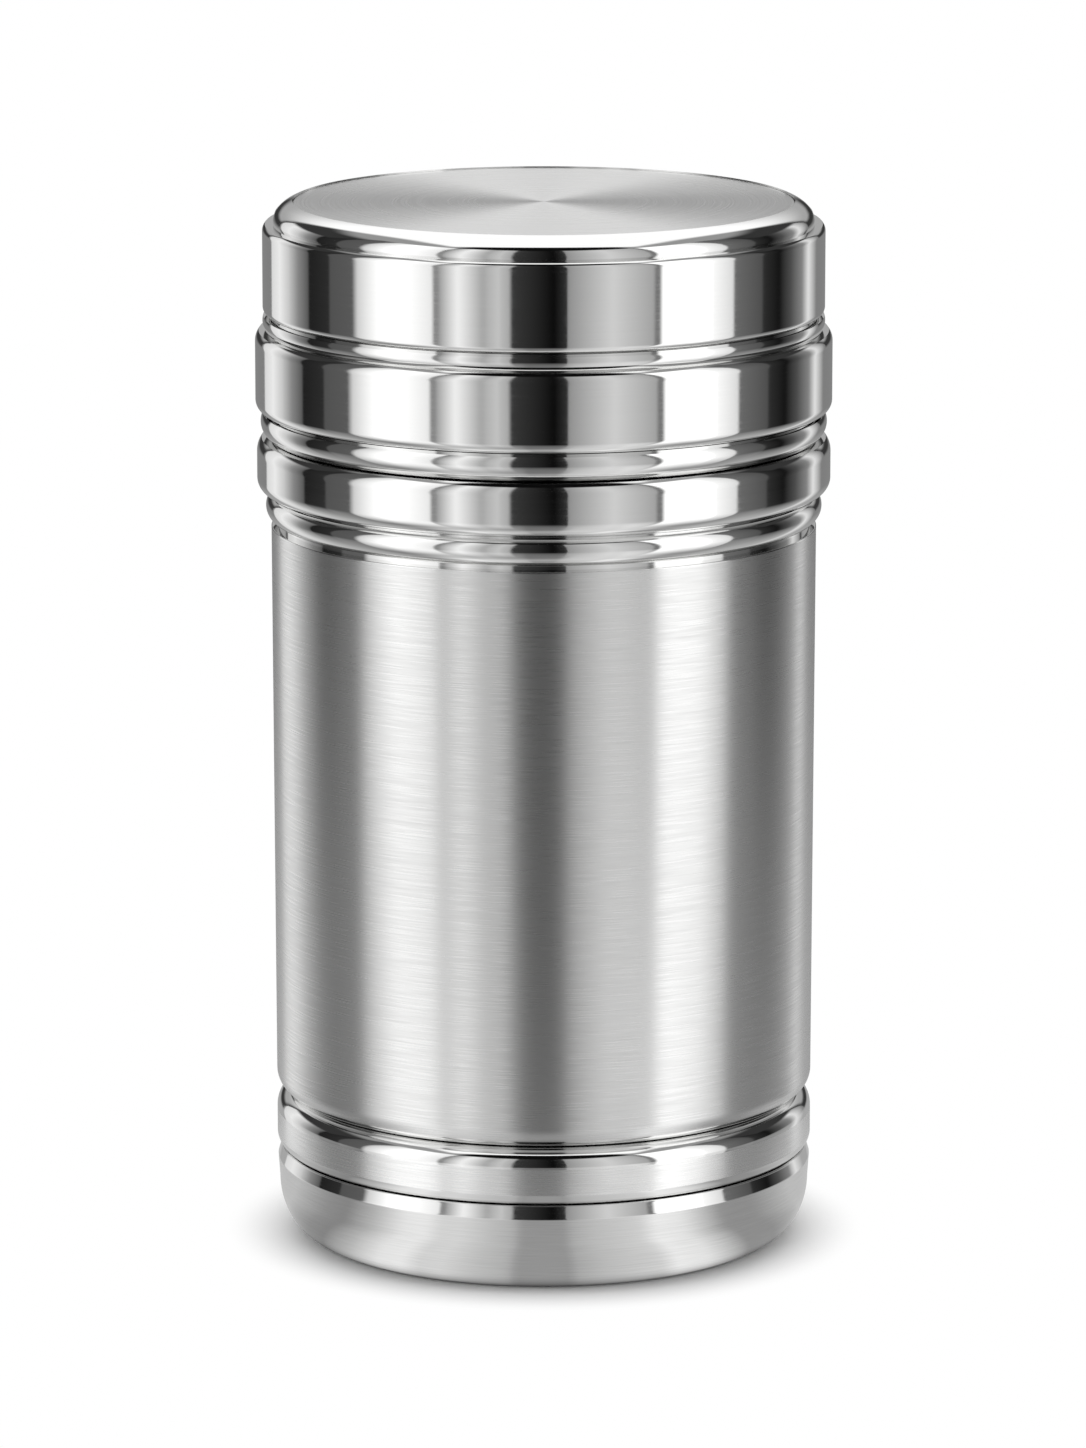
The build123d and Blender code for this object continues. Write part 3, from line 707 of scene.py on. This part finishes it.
def body_shell():
    outer, bottom, top = reach("body_shell")
    low_outer = outer - BODY_FLARE
    section = Section(SKIN_BORE, bottom)
    lip(section, low_outer, bottom, BODY_LIP)
    section.line(outer, top - CUT_EDGE)
    section.arc(outer - CUT_EDGE, top - CUT_EDGE, 90)
    section.line(SKIN_BORE, top)
    section.line(SKIN_BORE, top - SHEET)
    section.line(outer - SHEET, top - SHEET)
    lip_inside(section, low_outer, bottom, BODY_LIP, SKIN_BORE)

    def finish_at(height):
        return 0 if bottom + BODY_LIP * BODY_LIP_POLISHED < height < top - CUT_EDGE else 1

    finishes = ["brushed_steel", "polished_steel"]
    add_piece("body_shell", section, "canister", finishes, finish_at)


def crown(section, centre, radius, top, bore):
    """Draws a bead's round up to its flat top, the low step there and the way in to its bore."""
    section.arc(*centre, degrees(asin((top - centre[1]) / radius)))
    edge = centre[0] + sqrt(radius**2 - (top - centre[1]) ** 2)
    section.line(edge - BEAD_STEP_INSET, top)
    section.line(edge - BEAD_STEP_INSET, top + BEAD_STEP)
    section.line(bore, top + BEAD_STEP)


def shoulder_bead():
    outer, bottom, top = reach("shoulder_bead")
    centre = (outer - SHOULDER_BEAD_RADIUS, bottom + SHOULDER_BEAD_RISE)
    foot = SHOULDER_BEAD_POCKET + SHOULDER_BEAD_FOOT
    drop = sqrt(SHOULDER_BEAD_RADIUS**2 - (foot - centre[0]) ** 2)
    section = Section(SHOULDER_BEAD_POCKET, bottom)
    section.line(foot, bottom)
    section.line(foot, centre[1] - drop)
    crown(section, centre, SHOULDER_BEAD_RADIUS, top, SHOULDER_BEAD_BORE)
    section.line(SHOULDER_BEAD_BORE, bottom + SHOULDER_BEAD_SEAT)
    section.line(SHOULDER_BEAD_POCKET, bottom + SHOULDER_BEAD_SEAT)
    add_polished("shoulder_bead", section, "canister")


def standing_bead(node_name, body, radius, sink, bore):
    """A round ring that sits on its band. Sink is how much of its round is faced off there."""
    outer, bottom, top = reach(node_name)
    centre = (outer - radius, bottom + radius - sink)
    section = Section(bore, bottom)
    section.line(centre[0] + sqrt(radius**2 - (radius - sink) ** 2), bottom)
    crown(section, centre, radius, top, bore)
    add_polished(node_name, section, body)


def shoulder_centre(outer, top, radius, end):
    """The centre of a shoulder whose round meets a flat top at a bearing in degrees."""
    return outer - radius, top - radius * sin(radians(end))


def rolled_band(node_name, body, lip_radius, shoulder_radius, foot_bore, top_bore):
    """A polished band with a rolled lip at its foot and a round shoulder under its flat top."""
    outer, bottom, top = reach(node_name)
    shoulder = shoulder_centre(outer, top, shoulder_radius, BAND_SHOULDER_END)
    section = Section(foot_bore, bottom)
    lip(section, outer, bottom, lip_radius)
    section.line(outer, shoulder[1])
    section.arc(*shoulder, BAND_SHOULDER_END)
    section.line(top_bore, top)
    section.line(top_bore, top - SHEET)
    section.line(outer - 2 * SHEET, top - SHEET)
    section.line(outer - SHEET, top - 2 * SHEET)
    lip_inside(section, outer, bottom, lip_radius, foot_bore)
    add_polished(node_name, section, body)


def dial_band():
    foot = reach("dial_band")[0] - DIAL_LIP - DIAL_FLANGE
    rolled_band("dial_band", "dial", DIAL_LIP, DIAL_SHOULDER, foot, NECK_WALL)


def rim_point(rim, bearing, shrink=1.0):
    """A point at a bearing on the lid rim's ellipse, or further out where shrink is under 1."""
    turn = radians(bearing)
    across = LID_RIM_WIDTH * cos(turn) / shrink
    return rim[0] + across, rim[1] + LID_RIM_HEIGHT * sin(turn) / shrink


def lid_shell():
    outer, bottom = reach("lid_shell")[:2]
    disc_outer, disc_bottom = reach("lid_disc")[:2]
    top = bottom + LID_HEIGHT
    shoulder = shoulder_centre(outer, top, LID_SHOULDER, LID_SHOULDER_END)
    rim = (outer - LID_RIM_INSET - LID_RIM_WIDTH, top + LID_RIM_RISE)
    rim_foot = rim[0] + LID_RIM_WIDTH * sqrt(1 - (LID_RIM_RISE / LID_RIM_HEIGHT) ** 2)
    rim_stretch = LID_RIM_HEIGHT / LID_RIM_WIDTH
    pocket = disc_outer + DISC_FIT
    pocket_bearing = degrees(acos((pocket - rim[0]) / LID_RIM_WIDTH))
    section = Section(SKIRT_BORE, bottom)
    lip(section, outer, bottom, LID_LIP)
    section.line(outer, shoulder[1])
    section.arc(*shoulder, LID_SHOULDER_END)
    section.line(rim_foot, top)
    edge_start, edge_end = LID_RIM_EDGE
    section.arc(*rim, edge_start, stretch=rim_stretch)
    # The soft edge lies where the tangents at its two ends meet.
    lean = cos(radians(edge_end - edge_start) / 2)
    section.line(*rim_point(rim, (edge_start + edge_end) / 2, lean))
    section.line(*rim_point(rim, edge_end))
    section.arc(*rim, pocket_bearing, stretch=rim_stretch)
    section.line(pocket, disc_bottom)
    section.line(0, disc_bottom)
    section.line(0, disc_bottom - SHEET)
    section.line(pocket - SHEET, disc_bottom - SHEET)
    section.line(pocket - SHEET, top - SHEET)
    section.line(outer - 2 * SHEET, top - SHEET)
    section.line(outer - SHEET, top - 2 * SHEET)
    section.line(outer - SHEET, bottom + LID_LIP)
    section.line(outer - LID_LIP, bottom + SHEET)
    section.line(SKIRT_BORE, bottom + SHEET)
    add_polished("lid_shell", section, "lid")


def lid_disc():
    outer, bottom, top = reach("lid_disc")
    section = Section(0, bottom)
    section.line(outer, bottom)
    section.line(outer, top - DISC_EDGE)
    section.arc(outer - DISC_EDGE, top - DISC_EDGE, 90)
    section.line(0, top)
    add_piece("lid_disc", section, "lid", ["spun_steel"])


# ================================ studio ================================


def panel_stops():
    """Where each panel begins and ends, and its brightness there."""
    stops = []
    ends = [row[0] for row in PANELS[1:]] + [180]
    for (begin, near, far), end in zip(PANELS, ends):
        stops.append((begin + PANEL_EDGE / 2, near))
        stops.append((end - PANEL_EDGE / 2, far))
    return stops


def end_panels(tree, light, aside, elevation):
    """Ends the panels at their tops, with the dark over them."""
    over_side = spread(tree, elevation, SIDE_TOP_START, (SIDE_GAP, SIDE_TOP), smooth=True)
    above = blend(tree, step_up(tree, aside, FRONT_SPAN), FRONT_GAP, over_side)
    top = spread(tree, aside, BACK_SIDES_SPAN, (TOP_FRONT, TOP_BACK_SIDES))
    drop = spread(tree, aside, BACK_SPAN, (0, TOP_BACK - TOP_BACK_SIDES))
    past = math_node(tree, "SUBTRACT", elevation, math_node(tree, "ADD", top, drop))
    return blend(tree, step_up(tree, past, (-TOP_SOFT, TOP_SOFT)), light, above)


def add_strip(tree, light, aside, elevation):
    """Adds the narrow pale strip straight behind."""
    across = step_up(tree, aside, FAR_SPAN)
    strip = math_node(tree, "MULTIPLY", across, step_up(tree, elevation, FAR_FOOT))
    return blend(tree, strip, light, FAR_STRIP)


def add_box(tree, light, side, back, elevation):
    """Adds the long soft box overhead."""
    across = math_node(tree, "SUBTRACT", 1, step_up(tree, math_node(tree, "ABSOLUTE", side), BOX_SIDE))
    along = math_node(tree, "MULTIPLY", across, step_up(tree, back, BOX_FRONT))
    box = math_node(tree, "MULTIPLY", along, step_up(tree, elevation, BOX_FOOT))
    return blend(tree, box, light, spread(tree, elevation, BOX_DIM, (BOX_LOW, BOX_HIGH), smooth=True))


def add_ground(tree, light, azimuth, elevation):
    """Adds the ground further out, and straight below."""
    ground = level_ramp(tree, azimuth, GROUND_LEVELS)
    light = blend(tree, step_up(tree, elevation, GROUND_START), light, ground)
    return blend(tree, step_up(tree, elevation, NADIR_START), light, NADIR)


def light_studio():
    """Lights the shaker from far away all round. The camera itself sees plain white there."""
    world = bpy.data.worlds.new("studio")
    bpy.context.scene.world = world
    world.use_nodes = True
    tree = world.node_tree
    tree.nodes.clear()
    place = node(tree, "ShaderNodeTexCoord")
    side, back, rise = split(tree, place.outputs["Generated"])
    azimuth = azimuth_of(tree, side, back)
    aside = math_node(tree, "ABSOLUTE", azimuth)
    elevation = math_node(tree, "DEGREES", math_node(tree, "ARCSINE", rise))
    light = level_ramp(tree, azimuth, panel_stops())
    light = end_panels(tree, light, aside, elevation)
    light = add_strip(tree, light, aside, elevation)
    light = add_box(tree, light, side, back, elevation)
    light = add_ground(tree, light, azimuth, elevation)
    rays = node(tree, "ShaderNodeLightPath")
    seen = blend(tree, rays.outputs["Is Camera Ray"], light, 1.0)
    background = node(tree, "ShaderNodeBackground")
    link(tree, seen, background.inputs["Color"])
    output = node(tree, "ShaderNodeOutputWorld")
    link(tree, background.outputs["Background"], output.inputs["Surface"])


def floor_material():
    """Pale paper that the camera sees as white past the shadow at the foot. Steel that is seen
    directly or in other steel sees the paper as a glow, which lets more and more through."""
    material = bpy.data.materials.new("floor")
    material.use_nodes = True
    tree = material.node_tree
    tree.nodes.clear()
    place = node(tree, "ShaderNodeNewGeometry")
    east, north = split(tree, place.outputs["Position"])[:2]
    radius = axis_distance(tree, east, north)
    rays = node(tree, "ShaderNodeLightPath")

    paper = node(tree, "ShaderNodeBsdfDiffuse")
    paper.inputs["Color"].default_value = FLOOR_COLOUR
    white = node(tree, "ShaderNodeEmission")
    past_shadow = step_up(tree, radius, FLOOR_SHADOW)
    seen_white = math_node(tree, "MULTIPLY", past_shadow, rays.outputs["Is Camera Ray"])
    plain = mix_shaders(tree, seen_white, paper.outputs["BSDF"], white.outputs["Emission"])

    glow = node(tree, "ShaderNodeEmission")
    link(tree, level_ramp(tree, azimuth_of(tree, east, north), FLOOR_GLOW), glow.inputs["Color"])
    growth = spread(tree, radius, FLOOR_GLOW_END, (FLOOR_GLOW_CLOSE, 1), smooth=True)
    strength = math_node(tree, "MULTIPLY", growth, step_up(tree, radius, FLOOR_GLOW_START))
    link(tree, strength, glow.inputs["Strength"])
    # Light that has met the paper before is left out, so that the foot's shadow stays dark.
    direct = math_node(tree, "LESS_THAN", rays.outputs["Diffuse Depth"], 1)
    from_steel = math_node(tree, "MULTIPLY", direct, rays.outputs["Is Glossy Ray"])
    lit = mix_shaders(tree, from_steel, plain, glow.outputs["Emission"])

    clear = node(tree, "ShaderNodeBsdfTransparent")
    near = spread(tree, radius, FLOOR_GLOW_END, (1, 0), smooth=True)
    faded = spread(tree, radius, FLOOR_FAR, (FLOOR_SEEN, 0), smooth=True)
    hidden = math_node(tree, "SUBTRACT", 1, math_node(tree, "MAXIMUM", near, faded))
    passed = math_node(tree, "MULTIPLY", hidden, from_steel)
    output = node(tree, "ShaderNodeOutputMaterial")
    link(tree, mix_shaders(tree, passed, lit, clear.outputs["BSDF"]), output.inputs["Surface"])
    return material


def lay_floor():
    """A wide flat floor under the foot."""
    mesh = bmesh.new()
    bmesh.ops.create_grid(mesh, x_segments=1, y_segments=1, size=FLOOR_SIZE)
    data = bpy.data.meshes.new("floor")
    mesh.to_mesh(data)
    mesh.free()
    data.materials.append(floor_material())
    floor = bpy.data.objects.new("floor", data)
    bpy.context.scene.collection.objects.link(floor)


def place_camera():
    """The camera looks a little down on the shaker from the front."""
    data = bpy.data.cameras.new("camera")
    data.lens = CAMERA_LENS
    data.sensor_width = CAMERA_SENSOR
    data.clip_start, data.clip_end = CAMERA_CLIP
    camera = bpy.data.objects.new("camera", data)
    bpy.context.scene.collection.objects.link(camera)
    back = Vector((0, -cos(CAMERA_ELEVATION), sin(CAMERA_ELEVATION)))
    camera.location = CAMERA_AIM + back * CAMERA_DISTANCE
    camera.rotation_euler = (-back).to_track_quat("-Z", "Y").to_euler()
    bpy.context.scene.camera = camera


place_camera()
dress_solids()
base_cup()
base_ring()
body_shell()
shoulder_bead()
rolled_band("collar_band", "head", COLLAR_LIP, COLLAR_SHOULDER, SKIRT_BORE, BARREL)
standing_bead("collar_bead", "head", COLLAR_BEAD_RADIUS, COLLAR_BEAD_SINK, BARREL)
dial_band()
standing_bead("neck_bead", "dial", NECK_BEAD_RADIUS, NECK_BEAD_SINK, NECK_WALL)
lid_shell()
lid_disc()
light_studio()
lay_floor()
bpy.context.scene.view_settings.view_transform = "Standard"
